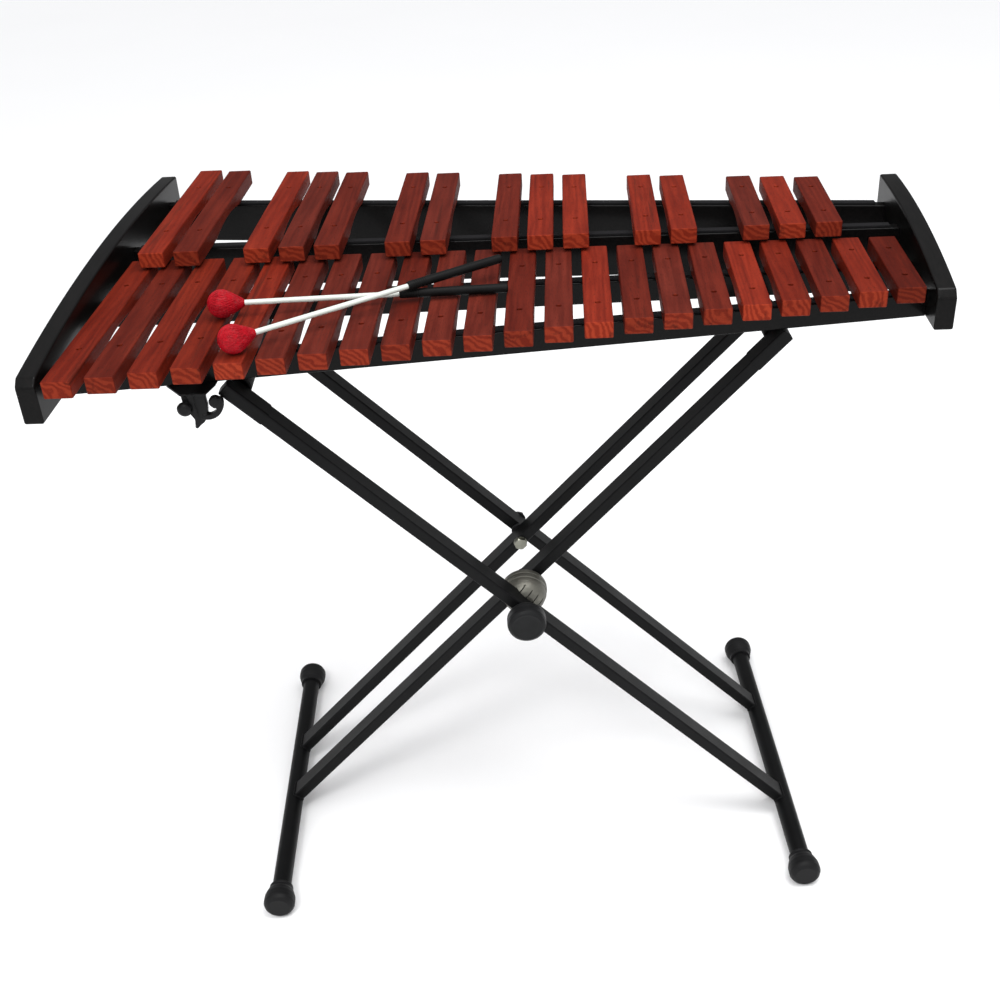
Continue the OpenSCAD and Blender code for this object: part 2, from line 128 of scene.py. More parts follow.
def mesh_from(name, bm):
    """A mesh made of bm, which is used up."""
    mesh = bpy.data.meshes.new(name)
    bm.to_mesh(mesh)
    bm.free()
    return mesh


def new_object(name, data):
    obj = bpy.data.objects.new(name, data)
    bpy.context.scene.collection.objects.link(obj)
    return obj


def with_modifiers(obj):
    """The mesh that an object's modifiers give."""
    bpy.context.view_layer.update()
    result = obj.evaluated_get(bpy.context.evaluated_depsgraph_get())
    bm = bmesh.new()
    bm.from_mesh(result.to_mesh())
    result.to_mesh_clear()
    return bm


def discard(obj):
    mesh = obj.data
    bpy.data.objects.remove(obj)
    bpy.data.meshes.remove(mesh)


def loft(sections):
    """A closed skin over rings of points; every ring has the same number of points."""
    bm = bmesh.new()
    rings = [[bm.verts.new(point) for point in ring] for ring in sections]
    for ring, following in zip(rings, rings[1:]):
        count = len(ring)
        for i in range(count):
            j = (i + 1) % count
            bm.faces.new((ring[i], ring[j], following[j], following[i]))
    bm.faces.new(list(reversed(rings[0])))
    bm.faces.new(rings[-1])
    bmesh.ops.recalc_face_normals(bm, faces=bm.faces)
    return bm


def slab(outline, low, high, edge, place, steps=3):
    """An outline made thick from low to high, with rounded edges; place gives each point."""
    sections = []
    for k in range(steps + 1):
        turn = math.pi / 2 * k / steps
        ring = inset(outline, edge * (1 - math.sin(turn)))
        sections.append((ring, edge * (1 - math.cos(turn))))
    rings = [[place(x, y, low + rise) for x, y in ring] for ring, rise in sections]
    rings += [[place(x, y, high - rise) for x, y in ring]
              for ring, rise in reversed(sections)]
    return loft(rings)


def lathe(profile, segments=48, matrix=None):
    """A turned solid about local z; profile is a list of (radius, height)."""
    bm = bmesh.new()
    rings = []
    for radius, height in profile:
        if radius < ON_AXIS:
            rings.append([bm.verts.new((0, 0, height))])
        else:
            turn = [2 * math.pi * k / segments for k in range(segments)]
            ring = [(radius * math.cos(a), radius * math.sin(a), height) for a in turn]
            rings.append([bm.verts.new(point) for point in ring])
    for ring, following in zip(rings, rings[1:]):
        for i in range(segments):
            j = (i + 1) % segments
            if len(ring) == 1 and len(following) == 1:
                break
            if len(ring) == 1:
                bm.faces.new((ring[0], following[j], following[i]))
            elif len(following) == 1:
                bm.faces.new((ring[i], ring[j], following[0]))
            else:
                bm.faces.new((ring[i], ring[j], following[j], following[i]))
    bmesh.ops.recalc_face_normals(bm, faces=bm.faces)
    if matrix is not None:
        bm.transform(matrix)
    return bm


def closed_tube(path, radius, sides):
    """A round skin along a closed path; radius(share of the path) gives its radius."""
    rings = []
    count = len(path)
    side = (path[1] - path[-1]).normalized().orthogonal().normalized()
    for i, point in enumerate(path):
        along = (path[(i + 1) % count] - path[i - 1]).normalized()
        side = (side - along * side.dot(along)).normalized()
        other = along.cross(side)
        turn = [2 * math.pi * k / sides for k in range(sides)]
        thick = radius(i / count)
        rings.append([point + (side * math.cos(a) + other * math.sin(a)) * thick
                      for a in turn])
    first = Vector(rings[0][0]) - path[0]
    bm = bmesh.new()
    verts = [[bm.verts.new(p) for p in ring] for ring in rings]
    # the last ring has turned against the first one; shift lines them up
    shift = min(range(sides), key=lambda s: (rings[-1][s] - path[-1] - first).length)
    for i in range(count):
        ring, following = verts[i], verts[(i + 1) % count]
        turned = shift if i == count - 1 else 0
        for k in range(sides):
            a, b = ring[(k + turned) % sides], ring[(k + 1 + turned) % sides]
            bm.faces.new((a, b, following[(k + 1) % sides], following[k]))
    bmesh.ops.recalc_face_normals(bm, faces=bm.faces)
    return bm


def joined(parts):
    """Several meshes as one; the parts are used up."""
    whole = bmesh.new()
    for part in parts:
        mesh = mesh_from("part", part)
        whole.from_mesh(mesh)
        bpy.data.meshes.remove(mesh)
    return whole


def solid(bm, operation, cutter):
    """bm with cutter taken away from it, or kept in common; both are used up."""
    body, tool = (new_object("work", mesh_from("work", source)) for source in (bm, cutter))
    modifier = body.modifiers.new("cut", "BOOLEAN")
    modifier.operation = operation
    modifier.object = tool
    modifier.solver = "EXACT"
    out = with_modifiers(body)
    discard(body)
    discard(tool)
    bmesh.ops.remove_doubles(out, verts=out.verts, dist=SAME_POINT)
    return out


def box_mesh(size, matrix):
    bm = bmesh.new()
    bmesh.ops.create_cube(bm, size=1, matrix=matrix @ Matrix.Diagonal((*size, 1)))
    return bm


def piece(name, bm, body, slot, node=None, place=None, crease=32):
    """The object, in its slot's material, riding on its body and replacing its CAD node."""
    for face in bm.faces:
        face.smooth = True
    for edge in bm.edges:
        edge.smooth = (len(edge.link_faces) == 2
                       and edge.calc_face_angle(0) < math.radians(crease))
    obj = new_object(name, mesh_from(name, bm))
    obj.data.materials.append(MATERIALS[slot])
    if place is not None:
        obj.matrix_world = place
    even = obj.modifiers.new("even shading", "WEIGHTED_NORMAL")
    even.keep_sharp = True
    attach(obj, body)
    if node:
        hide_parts(node)
    return obj


def solids(node):
    """The lowest and highest corner of each solid in a CAD node, from left to right."""
    bm = bmesh.new()
    bm.from_mesh(nodes[node].data)
    bmesh.ops.remove_doubles(bm, verts=bm.verts, dist=SAME_POINT)
    waiting = set(bm.verts)
    found = []
    while waiting:
        group, todo = [], [waiting.pop()]
        while todo:
            vert = todo.pop()
            group.append(vert.co.copy())
            near = {edge.other_vert(vert) for edge in vert.link_edges} & waiting
            waiting -= near
            todo += near
        low = Vector([min(co[k] for co in group) for k in range(3)])
        high = Vector([max(co[k] for co in group) for k in range(3)])
        found.append((low, high))
    bm.free()
    return sorted(found, key=lambda pair: (round(pair[0].x, 4), pair[0].y))


# ---- materials ----


def add(tree, kind, inputs=None, **settings):
    """One shader node; an input is a value or another node's output."""
    node = tree.nodes.new("ShaderNode" + kind)
    for key, value in settings.items():
        setattr(node, key, value)
    for key, value in (inputs or {}).items():
        if isinstance(value, bpy.types.NodeSocket):
            tree.links.new(value, node.inputs[key])
        else:
            node.inputs[key].default_value = value
    return node


def new_material(name, **sockets):
    material = bpy.data.materials.new(name)
    material.use_nodes = True
    tree = material.node_tree
    shader = tree.nodes["Principled BSDF"]
    for key, value in sockets.items():
        socket = key.replace("_", " ").title().replace("Ior", "IOR")
        shader.inputs[socket].default_value = value
    return material, tree, shader


def object_place(tree):
    return add(tree, "TexCoord").outputs["Object"]


def maths(tree, operation, *values):
    return add(tree, "Math", dict(enumerate(values)), operation=operation).outputs[0]


def stretched(tree, scale, source):
    """Coordinates times scale, axis by axis: a small scale makes a pattern long."""
    return add(tree, "Mapping", {"Vector": source, "Scale": scale}).outputs["Vector"]


def noise(tree, vector, scale, detail=3, roughness=0.55):
    return add(tree, "TexNoise", {"Vector": vector, "Scale": scale, "Detail": detail,
                                  "Roughness": roughness}).outputs["Fac"]


def levels(tree, value, low, high, out_low=0.0, out_high=1.0):
    return add(tree, "MapRange", {"Value": value, "From Min": low, "From Max": high,
                                  "To Min": out_low, "To Max": out_high}).outputs["Result"]


def blend_colour(tree, factor, first, second, mode="MIX"):
    node = add(tree, "Mix", data_type="RGBA", blend_type=mode)
    for index, value in ((0, factor), (6, first), (7, second)):
        if isinstance(value, bpy.types.NodeSocket):
            tree.links.new(value, node.inputs[index])
        elif index == 0:
            node.inputs[index].default_value = value
        else:
            node.inputs[index].default_value = (*value, 1)
    return node.outputs[2]


def paint(tree, shader, colour, roughness=None):
    tree.links.new(colour, shader.inputs["Base Color"])
    if roughness:
        tree.links.new(roughness, shader.inputs["Roughness"])


def bump(tree, shader, height, distance, strength):
    node = add(tree, "Bump", {"Height": height, "Distance": distance, "Strength": strength})
    tree.links.new(node.outputs["Normal"], shader.inputs["Normal"])


# colours of the wood; each grain colour goes from a browner to a redder bar
DARK_GRAIN = ((0.038, 0.0048, 0.0030), (0.064, 0.0042, 0.0020))
LIGHT_GRAIN = ((0.108, 0.0180, 0.0115), (0.170, 0.0165, 0.0062))
# the end faces' rings are the wood's grain, but their colours are painted brighter than the long
# faces: painted light from the front
END_GRAIN_PAINTED_BRIGHT = ((0.135, 0.0130, 0.0052), (0.215, 0.0260, 0.0100))      # dark and light rings
VEIN = (0.024, 0.0055, 0.0035)
PORE = (0.020, 0.005, 0.003)
CLOUD_SHADE = (0.68, 0.52, 0.48)


def make_padauk():
    """Oiled hardwood: streaks, dark pores, rings at the sawn ends, which are painted brighter as
    painted front light; each bar has its tone.
    """
    material, tree, shader = new_material("padauk", specular_ior_level=0.05)
    tone = add(tree, "Attribute", attribute_name="bar_tone").outputs["Vector"]
    tones = add(tree, "SeparateXYZ", {"Vector": tone})
    lightness, redness, seed = (tones.outputs[k] for k in range(3))
    shift = add(tree, "CombineXYZ", {
        "X": levels(tree, seed, 0, 1, 0.045, 0.13),
        "Y": levels(tree, seed, 0, 1, 0, 40),
        "Z": levels(tree, seed, 0, 1, 0.11, 0.03)}).outputs["Vector"]
    place = object_place(tree)
    moved = add(tree, "VectorMath", {0: place, 1: shift}, operation="ADD").outputs[0]
    rings = add(tree, "TexWave", {"Vector": stretched(tree, (1, 0.1, 1), moved), "Scale": 40,
                                  "Distortion": 16, "Detail": 5, "Detail Scale": 0.7},
                wave_type="RINGS", rings_direction="Y").outputs["Fac"]

    def grain_noise(squeeze, *settings):
        return noise(tree, stretched(tree, (1, squeeze, 1), moved), *settings)

    streaks = grain_noise(0.035, 190, 5, 0.66)
    broad = grain_noise(0.16, 38, 3)
    clouds = grain_noise(0.5, 24, 3)
    veins = grain_noise(0.04, 70, 6, 0.7)
    pores = grain_noise(0.05, 2300, 2, 0.5)
    facing = add(tree, "SeparateXYZ", {"Vector": add(tree, "NewGeometry").outputs["Normal"]})
    # this picks the bars' end faces, which get rings in a brighter colour: a painted front light
    sawn = levels(tree, maths(tree, "ABSOLUTE", facing.outputs["Y"]), 0.6, 0.9)
    grain = maths(tree, "ADD", levels(tree, streaks, 0.3, 0.7, 0, 0.45),
                  levels(tree, broad, 0.3, 0.7, 0, 0.35))
    figure = maths(tree, "ADD", levels(tree, rings, 0.1, 0.9, 0, 0.2), grain)
    dark = blend_colour(tree, redness, *DARK_GRAIN)
    light = blend_colour(tree, redness, *LIGHT_GRAIN)
    colour = blend_colour(tree, figure, dark, light)
    shaded = blend_colour(tree, 1.0, colour, CLOUD_SHADE, "MULTIPLY")
    colour = blend_colour(tree, levels(tree, clouds, 0.35, 0.7, 0, 0.5), colour, shaded)
    # the end rings are real grain, in colours painted brighter as painted light
    end_rings_painted_bright = blend_colour(tree, levels(tree, rings, 0.2, 0.8), *END_GRAIN_PAINTED_BRIGHT)
    colour = blend_colour(tree, levels(tree, sawn, 0, 1, 0, 0.75), colour, end_rings_painted_bright)
    colour = blend_colour(tree, levels(tree, veins, 0.56, 0.68, 0, 0.6), colour, VEIN)
    pore = levels(tree, pores, 0.60, 0.70, 0, 0.75)
    colour = blend_colour(tree, pore, colour, PORE)
    gain = add(tree, "CombineXYZ", {axis: lightness for axis in "XYZ"}).outputs["Vector"]
    colour = blend_colour(tree, 1.0, colour, gain, "MULTIPLY")
    paint(tree, shader, colour, levels(tree, streaks, 0.3, 0.7, 0.5, 0.66))
    bump(tree, shader, maths(tree, "SUBTRACT", streaks, pore), 0.0002, 0.35)
    return material


def make_lacquer():
    """Black lacquer over wood: faint grain and orange peel."""
    material, tree, shader = new_material("black_lacquer", specular_ior_level=0.06,
                                          coat_weight=0.10, coat_roughness=0.14)
    place = object_place(tree)
    grain = noise(tree, stretched(tree, (1, 0.08, 1), place), 260, 4)
    peel = noise(tree, place, 420, 2)
    cloud = noise(tree, place, 7, 2)
    colour = blend_colour(tree, levels(tree, grain, 0.35, 0.7), (0.0016, 0.0015, 0.0015),
                          (0.0036, 0.0031, 0.0030))
    paint(tree, shader, colour, levels(tree, cloud, 0.3, 0.7, 0.28, 0.38))
    height = maths(tree, "ADD", levels(tree, grain, 0, 1, 0, 0.6), peel)
    bump(tree, shader, height, 0.00012, 0.25)
    return material


def make_powder_coat():
    """Black powder coat: satin, with the fine texture of the baked powder."""
    material, tree, shader = new_material("powder_coat", specular_ior_level=0.1)
    place = object_place(tree)
    grit = noise(tree, place, 1500, 2)
    cloud = noise(tree, place, 18, 3)
    colour = blend_colour(tree, levels(tree, cloud, 0.3, 0.7), (0.0022, 0.0023, 0.0024),
                          (0.0045, 0.0046, 0.0048))
    paint(tree, shader, colour, levels(tree, cloud, 0.3, 0.7, 0.40, 0.50))
    bump(tree, shader, grit, 0.00012, 0.35)
    return material


def make_moulded(name, colour, roughness, grit_scale, depth, spread, shine):
    """Moulded plastic or rubber: one colour with dusty clouds and a fine cast texture."""
    material, tree, shader = new_material(name, specular_ior_level=shine)
    place = object_place(tree)
    grit = noise(tree, place, grit_scale, 2)
    cloud = noise(tree, place, 45, 3)
    lighter = tuple(c * (1 + spread) + 0.001 for c in colour)
    paint(tree, shader, blend_colour(tree, levels(tree, cloud, 0.35, 0.7), colour, lighter),
          levels(tree, cloud, 0.3, 0.7, roughness - 0.05, roughness + 0.05))
    bump(tree, shader, grit, depth, 0.5)
    return material


def make_metal(name, colour, roughness, metallic, brush, cast_scale, depth):
    """Metal: brush stretches the fine scratches about local z, cast_scale sets the grain."""
    material, tree, shader = new_material(name, metallic=metallic)
    place = object_place(tree)
    fine = noise(tree, stretched(tree, (1, 1, brush), place), cast_scale, 3)
    cloud = noise(tree, place, 60, 3)
    darker = tuple(c * 0.72 for c in colour)
    paint(tree, shader, blend_colour(tree, levels(tree, cloud, 0.35, 0.65), darker, colour),
          levels(tree, fine, 0.3, 0.7, roughness - 0.08, roughness + 0.08))
    bump(tree, shader, fine, depth, 0.5)
    return material


def make_felt():
    """Pressed black felt: short tangled fibres."""
    material, tree, shader = new_material("black_felt", roughness=0.95, specular_ior_level=0.1)
    fibres = noise(tree, object_place(tree), 900, 5, 0.7)
    paint(tree, shader, blend_colour(tree, levels(tree, fibres, 0.35, 0.7),
                                     (0.0045, 0.0045, 0.005), (0.016, 0.0155, 0.0165)))
    bump(tree, shader, fibres, 0.0006, 0.8)
    return material


def make_yarn():
    """Glossy red thread: twisted fibres along a thread show as fine slanted lines."""
    material, tree, shader = new_material("mallet_yarn", specular_ior_level=0.14)
    place = object_place(tree)
    fibres = noise(tree, place, 1600, 3, 0.6)
    dye = noise(tree, place, 130, 2)
    deep = blend_colour(tree, levels(tree, dye, 0.35, 0.65), (0.070, 0.0002, 0.0022),
                        (0.25, 0.0006, 0.0065))
    colour = blend_colour(tree, levels(tree, fibres, 0.35, 0.7), deep, (0.46, 0.004, 0.012))
    paint(tree, shader, colour, levels(tree, fibres, 0.3, 0.7, 0.26, 0.42))
    bump(tree, shader, fibres, 0.0002, 0.6)
    return material


def make_floor():
    material, tree, shader = new_material("studio_floor", roughness=0.7)
    cloud = noise(tree, object_place(tree), 1.2, 2)
    paint(tree, shader, blend_colour(tree, cloud, (0.93, 0.93, 0.93), (0.95, 0.95, 0.95)))
    return material


# colour, roughness, scale of the grit, its depth in metres, spread of the clouds, shine
MOULDED = {
    "cap_rubber": ((0.0035, 0.0035, 0.0038), 0.55, 700, 0.00015, 0.35, 0.16),
    "sleeve_rubber": ((0.0055, 0.0055, 0.0055), 0.75, 900, 0.0002, 0.35, 0.16),
    "grip_rubber": ((0.0032, 0.0032, 0.0032), 0.5, 1100, 0.0001, 0.35, 0.08),
    "clamp_plastic": ((0.0055, 0.0055, 0.0058), 0.4, 1300, 0.00008, 0.35, 0.12),
    "knob_plastic": ((0.0060, 0.0062, 0.0065), 0.42, 1500, 0.00006, 0.35, 0.12),
    "white_shaft": ((0.50, 0.53, 0.49), 0.3, 500, 0.00005, 0.04, 0.5)}
# colour, roughness, metallic, stretch of the scratches, their scale, their depth in metres
METALS = {
    "die_cast": ((0.135, 0.132, 0.112), 0.45, 0.7, 1, 650, 0.00008),
    "zinc_steel": ((0.22, 0.22, 0.185), 0.34, 1.0, 1, 900, 0.00003),
    # the pins' steel is painted dark: a painted shade for the bar holes above the pin tops
    "pin_steel": ((0.06, 0.056, 0.052), 0.35, 1.0, 0.1, 900, 0.00003),
    "black_steel": ((0.011, 0.011, 0.012), 0.38, 0.4, 1, 900, 0.00004),
    "screw_steel": ((0.06, 0.06, 0.062), 0.4, 1.0, 1, 900, 0.00003)}
MATERIALS = {"bar_wood": make_padauk(), "black_lacquer": make_lacquer(),
             "black_felt": make_felt(), "powder_coat": make_powder_coat(),
             "mallet_yarn": make_yarn()}
MATERIALS.update({slot: make_moulded(slot, *look) for slot, look in MOULDED.items()})
MATERIALS.update({slot: make_metal(slot, *look) for slot, look in METALS.items()})

# ---- bars ----

SUPPORT_SHARE = 0.237     # of a bar's length, from its end to its hole
HOLE_RADIUS = 3.5 * MM
SINK_WIDTH = 1.5 * MM     # of the countersink round a hole
SINK_DEPTH = 0.7 * MM
OVERSHOOT = 0.8 * MM      # of the drill above the bar
ARCH_SHARE = 0.02         # depth of the tuning arch, of a bar's length
ARCH_CHORD_SHARE = 0.42   # width of the tuning arch, of a bar's length
ARCH_STEPS = 20
BAR_EDGE = 1.9 * MM
BAR_EDGE_STEPS = 3
SHARPEST_EDGE = 0.35 * MM
# tones from the low bars to the high ones: r red, o orange, b brown, p purple-brown, d dark
NATURAL_TONES = "rbrropppbppbpobpborbrd"
SHARP_TONES = "obopb" "bpboo" "oopob"
# lightness and redness of each tone
TONES = {"r": (1.04, 0.85), "o": (1.36, 0.8), "b": (0.92, 0.45), "p": (1.1, 0.15),
         "d": (0.62, 0.7)}


def bar_mesh(width, length, thickness):
    """A bar about the origin: rounded edges, tuning arch, two countersunk holes."""
    depth = ARCH_SHARE * length
    chord = ARCH_CHORD_SHARE * length
    arch_radius = (chord * chord / 4 + depth * depth) / (2 * depth)

    def underside(y):
        if abs(y) >= chord / 2:
            return -thickness / 2
        rise = math.sqrt(arch_radius ** 2 - y * y) - (arch_radius - depth)
        return -thickness / 2 + rise

    stations = []
    for k in range(BAR_EDGE_STEPS + 1):
        turn = math.pi / 2 * k / BAR_EDGE_STEPS
        stations.append((-length / 2 + BAR_EDGE * (1 - math.cos(turn)),
                         BAR_EDGE * (1 - math.sin(turn))))
    rounded_end = list(stations)
    stations += [(-chord / 2 + chord * k / ARCH_STEPS, 0) for k in range(ARCH_STEPS + 1)]
    stations += [(-y, shrink) for y, shrink in reversed(rounded_end)]
    sections = []
    for y, shrink in stations:
        radius = max(BAR_EDGE - shrink, SHARPEST_EDGE)
        ring = rounded_rectangle(width / 2 - shrink, underside(y) + shrink,
                                 thickness / 2 - shrink, radius)
        sections.append([(x, y, z) for x, z in ring])
    hole_y = length * (0.5 - SUPPORT_SHARE)
    top = thickness / 2
    drill = [(0, -thickness), (HOLE_RADIUS, -thickness), (HOLE_RADIUS, top - SINK_DEPTH),
             (HOLE_RADIUS + SINK_WIDTH, top + OVERSHOOT), (0, top + OVERSHOOT)]
    drills = joined([lathe(drill, 24, Matrix.Translation((0, y, 0)))
                     for y in (-hole_y, hole_y)])
    return solid(loft(sections), "DIFFERENCE", drills)


def make_bar(name, low, high, tone, seed, node):
    """A wooden bar in the box from low to high; seed is a random number from 0 to 1."""
    size = high - low
    obj = piece(name, bar_mesh(*size), "keyboard", "bar_wood", node,
                Matrix.Translation((low + high) / 2), crease=40)
    lightness, redness = TONES[tone]
    tones = obj.data.attributes.new("bar_tone", "FLOAT_VECTOR", "POINT")
    for item in tones.data:
        item.vector = (lightness * (0.96 + 0.08 * seed), redness, seed)


def make_bars():
    draw = random.Random(7)
    naturals = [node for node in nodes if node.startswith("bar_") and node != "bar_pins"]
    naturals.sort(key=lambda node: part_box(node)[0].x)
    for node, tone in zip(naturals, NATURAL_TONES):
        make_bar(node + "_wood", *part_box(node), tone, draw.random(), node)
    sharps = sorted((node for node in nodes if node.startswith("sharp_bars")),
                    key=lambda node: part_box(node)[0].x)
    number = 0
    for node in sharps:
        for low, high in solids(node):
            make_bar(f"sharp_bar_{number + 1}", low, high, SHARP_TONES[number],
                     draw.random(), node)
            number += 1


# ---- keyboard frame ----

BOARD_EDGE = 2.6 * MM
BOARD_FRONT = 9 * MM      # from the front of an end board to the start of its bow
BOW_STEPS = 36
RAIL_EDGE = 1.4 * MM
FELT_STEPS = 90
PIN_RADIUS = 2 * MM
ON_FACE = 0.05 * MM       # a CAD vertex this near a face is on it
# where the middle of the bow is along an end board, and how far it drops to the front
LEFT_BOW = (0.6716, 34.5 * MM)
RIGHT_BOW = (0.886, 37 * MM)


def side_place(y, z, x):
    """For a slab drawn in side view."""
    return (x, y, z)


def plan_place(x, y, z):
    """For a slab drawn from above."""
    return (x, y, z)


def screw_hole_cutters(x, outward):
    """Countersinks in an end board whose outer face is at x."""
    cone = turned_profile([(0, -2.4), (2.4, -2.4), (4.7, 0), (5.2, 0.6), (0, 0.6)])
    turn = Matrix.Rotation(math.pi / 2 * outward, 4, "Y")
    cutters = []
    for low, high in solids("frame_screws"):
        if abs((low.x if outward < 0 else high.x) - x) < 5 * MM:
            middle = (low + high) / 2
            cutters.append(lathe(cone, 28, Matrix.Translation((x, middle.y, middle.z)) @ turn))
    return joined(cutters)


def make_end_board(node, crown_share, shoulder_drop, outward):
    """A board with a bowed top and cut corners at its front; outward is -1 on the left."""
    low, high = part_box(node)
    crown_y = low.y + crown_share * (high.y - low.y)
    shoulder = high.z - shoulder_drop
    run = crown_y - low.y
    bow = (run * run + shoulder_drop ** 2) / (2 * shoulder_drop)

    def top(y):
        return high.z - bow + math.sqrt(bow * bow - (y - crown_y) ** 2)

    start = low.y + BOARD_FRONT
    back = high.y - 1.5 * MM
    corners = [(high.y, low.z, 2.5 * MM), (high.y, top(high.y), 2.5 * MM)]
    for k in range(2, BOW_STEPS):
        y = back + (start - back) * k / BOW_STEPS
        corners.append((y, top(y)))
    corners += [(start, top(start), 7 * MM), (low.y, shoulder - 8 * MM, 7 * MM),
                (low.y, low.z, 2.5 * MM)]
    bm = slab(fillet(corners, steps=4), low.x, high.x, BOARD_EDGE, side_place, 4)
    outer = high.x if outward > 0 else low.x
    bm = solid(bm, "DIFFERENCE", screw_hole_cutters(outer, outward))
    piece(node + "_lacquered", bm, "keyboard", "black_lacquer", node, crease=30)


def make_rail(node):
    """A straight board, wider at one end where its CAD node is."""
    low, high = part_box(node)
    verts = [v.co for v in nodes[node].data.vertices]
    left, right = ([co.y for co in verts if abs(co.x - x) < ON_FACE] for x in (low.x, high.x))
    outline = [(low.x, min(left)), (high.x, min(right)), (high.x, max(right)),
               (low.x, max(left))]
    bm = slab(outline, low.z, high.z, RAIL_EDGE, plan_place, 3)
    piece(node + "_lacquered", bm, "keyboard", "black_lacquer", node)


def make_felt_strips():
    """Four soft strips, their long edges slightly wavy where the cutter passed."""
    draw = random.Random(3)
    strips = []
    verts = [v.co for v in nodes["felt_strips"].data.vertices]
    for low, high in solids("felt_strips"):
        inside = [co for co in verts if low.y - MM < co.y < high.y + MM
                  and low.z - MM < co.z < high.z + MM]
        left = [co.y for co in inside if co.x < low.x + ON_FACE]
        right = [co.y for co in inside if co.x > high.x - ON_FACE]
        outline = []
        for side, inward, order in ((min, 1, range(FELT_STEPS + 1)),
                                    (max, -1, range(FELT_STEPS, -1, -1))):
            for k in order:
                x = low.x + (high.x - low.x) * k / FELT_STEPS
                y = side(left) + (side(right) - side(left)) * k / FELT_STEPS
                outline.append((x, y + inward * draw.uniform(0, 0.25) * MM))
        strips.append(slab(outline, low.z, high.z, 0.6 * MM, plan_place, 2))
    piece("felt_strips_soft", joined(strips), "keyboard", "black_felt", "felt_strips")


def make_pins():
    """Steel pins with round tips, each in a sleeve that ends below its tip; the pins' colour is
    painted dark, a painted shade for the holes above them.
    """
    rods, sleeves = [], []
    for low, high in solids("bar_pins"):
        middle = Matrix.Translation(((low.x + high.x) / 2, (low.y + high.y) / 2, 0))
        rod = fillet([(0, high.z), (PIN_RADIUS, high.z, 0.9 * MM), (PIN_RADIUS, low.z),
                      (0, low.z)], False, 3)
        rods.append(lathe(rod, 14, middle))
        top, bottom = high.z - 4.6 * MM, low.z + 15 * MM
        inside, outside = PIN_RADIUS + 0.1 * MM, PIN_RADIUS + 1 * MM
        sleeve = fillet([(inside, top), (outside, top, 0.6 * MM), (outside, bottom),
                         (inside, bottom)], True, 3)
        sleeves.append(lathe(sleeve + sleeve[:1], 14, middle))
    piece("bar_pin_rods", joined(rods), "keyboard", "pin_steel", "bar_pins")
    piece("bar_pin_sleeves", joined(sleeves), "keyboard", "sleeve_rubber")


def make_screws():
    """Countersunk wood screws with a cross recess."""
    profile = turned_profile([(0, 0), (4.4, 0, 0.25), (4.4, -0.4), (2.2, -2.6), (2.2, -30),
                              (0.2, -44), (0, -44.5)], 2)
    screws = []
    left_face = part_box("frame_screws")[0].x
    for low, high in solids("frame_screws"):
        screw = lathe(profile, 24)
        for turn in (0.4, 0.4 + math.pi / 2):
            arm = box_mesh((4.6 * MM, 0.9 * MM, 2.6 * MM), Matrix.Rotation(turn, 4, "Z"))
            screw = solid(screw, "DIFFERENCE", arm)
        leftward = abs(low.x - left_face) < MM
        x = low.x if leftward else high.x
        turn = Matrix.Rotation(-math.pi / 2 if leftward else math.pi / 2, 4, "Y")
        middle = (low + high) / 2
        screw.transform(Matrix.Translation((x, middle.y, middle.z)) @ turn)
        screws.append(screw)
    piece("frame_screws_cross", joined(screws), "keyboard", "screw_steel",
          "frame_screws")


# ---- stand ----

PIVOT = Vector(joints["x_pivot"]["pos_m"])
ALONG = Vector(joints["x_pivot"]["axis"]).normalized()
UP = Vector((0, 0, 1))
FEET = {"outer": Vector(joints["stand_fold"]["pos_m"]),
        "inner": Vector(joints["inner_feet_turn"]["pos_m"])}
TUBE_RADIUS = 13.5 * MM
LEG_THIN = 16 * MM
LEG_WIDE = 30 * MM
LEG_CORNER = 2.5 * MM
LEG_UP = 489 * MM         # from the pivot up to the middle of the top bar
LEG_DOWN = 543 * MM       # from the pivot down to the middle of the foot bar
# middle of each leg, along the tubes from the pivot's own point
LEG_Y = {"outer_front_leg": -106.5 * MM, "outer_back_leg": 101.7 * MM,
         "inner_front_leg": -41.5 * MM, "inner_back_leg": 68.3 * MM}
TOP_BAR_BACK = {"outer": 400 * MM, "inner": 300 * MM}     # from the pivot's own point
WELD_RADIUS = 1.5 * MM
WELD_STEP = 1.2 * MM
STOP_Y = (-122.4 * MM, -103.2 * MM)     # front and back of the outer front leg's end
STOP_RISE = 20 * MM       # of that end above the top bar's middle
# in millimetres along the top bars: a sleeve before the back leg and one behind it
SLEEVE_SPANS = {"outer": ((-90.2, 86.4), (117.0, 399)), "inner": ((-25.5, 53.3), (83.3, 299))}
SLEEVE_INSIDE = 13.56
CAP_HALF = 265.5 * MM     # from the middle of a foot bar to the outside of its cap


def frame_of(which):
    """Frame of a pair of legs at the pivot: x across, y along the tubes, z up the leg."""
    up = (PIVOT - FEET[which]).normalized()
    across = ALONG.cross(up)
    matrix = Matrix((across, ALONG, up)).transposed().to_4x4()
    return Matrix.Translation(PIVOT) @ matrix


def along_tube(origin, outward=1):
    """A lathe's frame: its z runs along the tubes from origin."""
    z = ALONG * outward
    x = UP.cross(z).normalized()
    return Matrix.Translation(origin) @ Matrix((x, z.cross(x), z)).transposed().to_4x4()


def on_top_bar(which, along=0):
    """A lathe's frame on the middle line of a top bar."""
    return along_tube(frame_of(which) @ Vector((0, 0, LEG_UP)) + ALONG * along)


